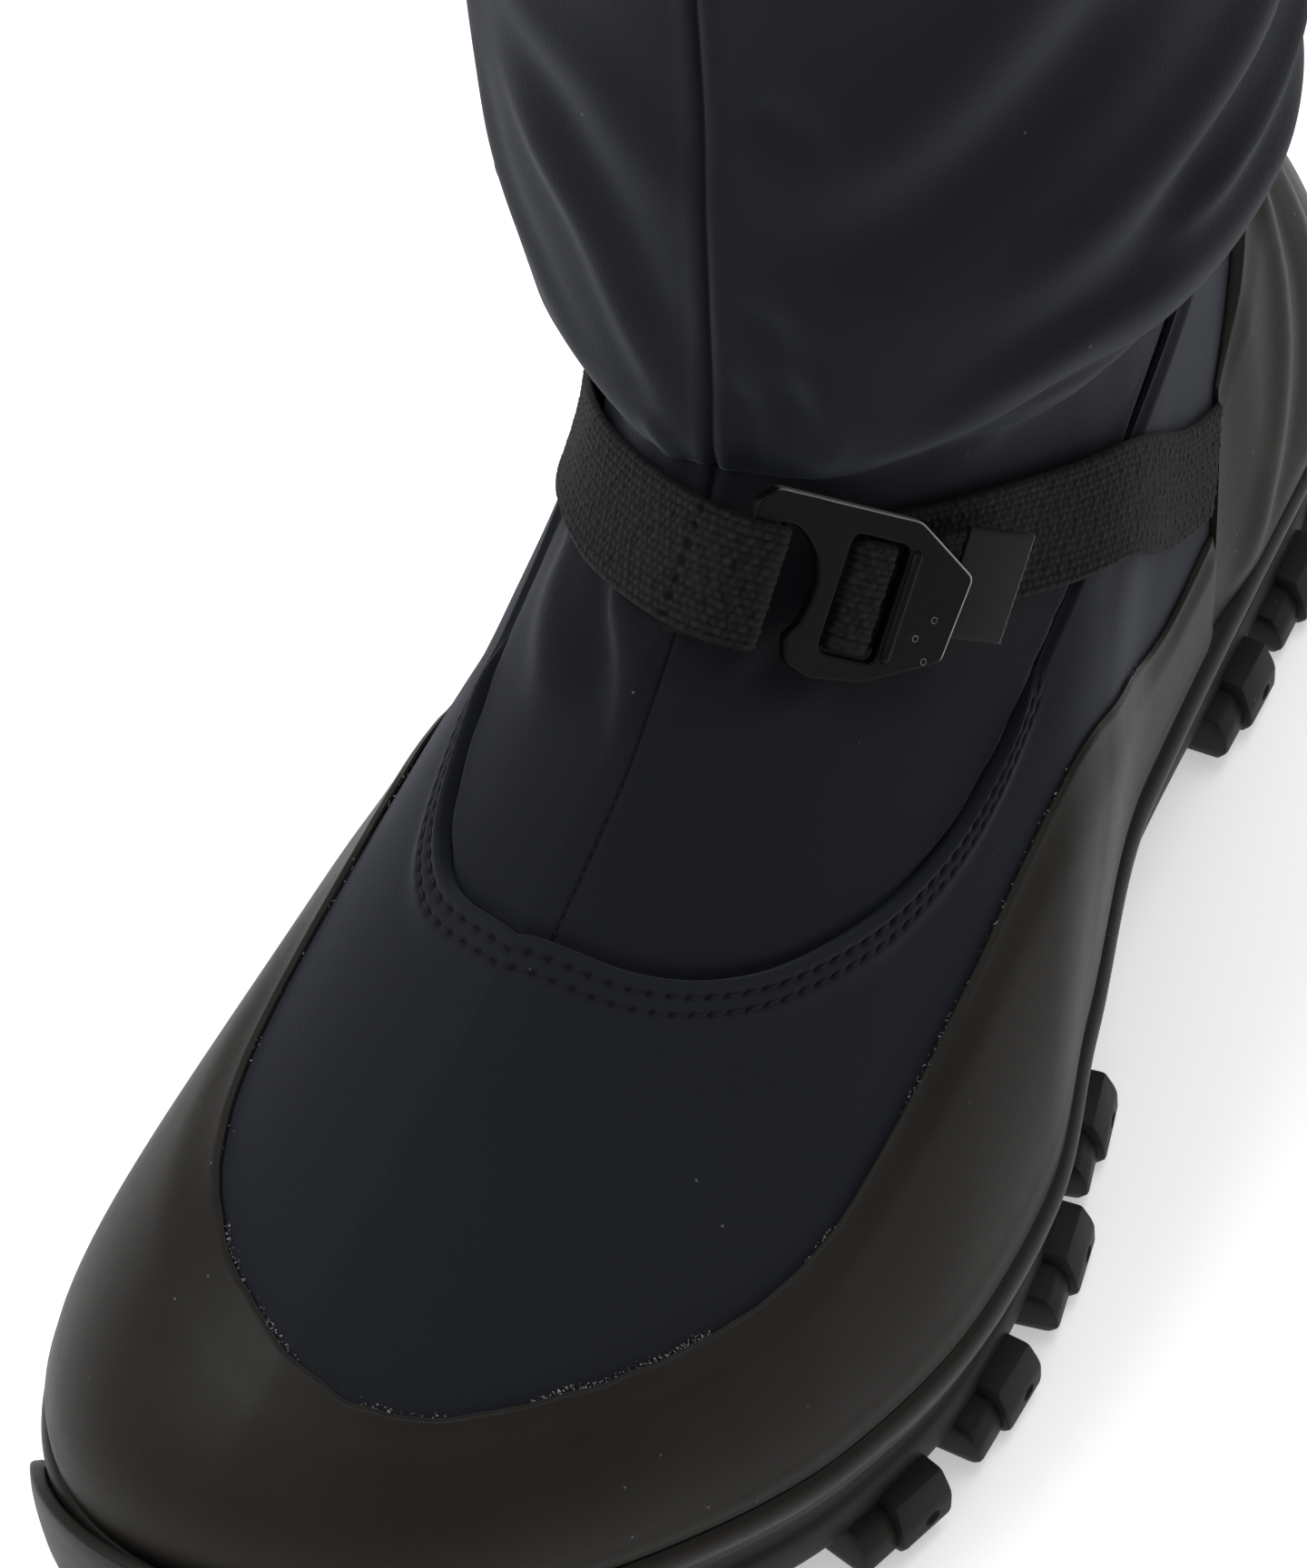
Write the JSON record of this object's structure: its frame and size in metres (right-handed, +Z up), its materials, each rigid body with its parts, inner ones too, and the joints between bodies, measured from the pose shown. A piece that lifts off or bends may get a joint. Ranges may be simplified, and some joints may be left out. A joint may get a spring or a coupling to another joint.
{
  "type": "left winter boot with gaiter shaft and ankle strap",
  "caption": "Hollow left winter boot: lugged rubber sole, rubber rand and heel counter, softshell foot and tall gaiter shaft, webbing ankle strap with flat hook buckle.",
  "frame": {"origin": "on the floor, under the middle of the whole boot's box", "axes": "+Z up; the toe looks along -Y; +X is the lateral side of this left boot"},
  "size_m": [0.12, 0.2932, 0.2841],
  "materials": {
    "sole_rubber": "satin, faintly scuffed",
    "midsole_rubber": "satin",
    "rand_rubber": "satin",
    "softshell": "matte navy, fine nap",
    "insole_felt": "matte grey felt",
    "webbing": "coarse black weave",
    "tab_rubber": "matte, pale cut edge",
    "black_metal": "satin black with worn edges"
  },
  "bodies": {
    "root": {"outsole": "sole_rubber", "midsole": "midsole_rubber", "insole": "insole_felt", "upper": "softshell", "shaft": "softshell", "rand": "rand_rubber", "heel_counter": "rand_rubber", "lateral_strap": "webbing", "medial_strap": "webbing", "strap_tail": "webbing", "end_tab": "tab_rubber", "hook_buckle": "black_metal"}
  },
  "joints": []
}
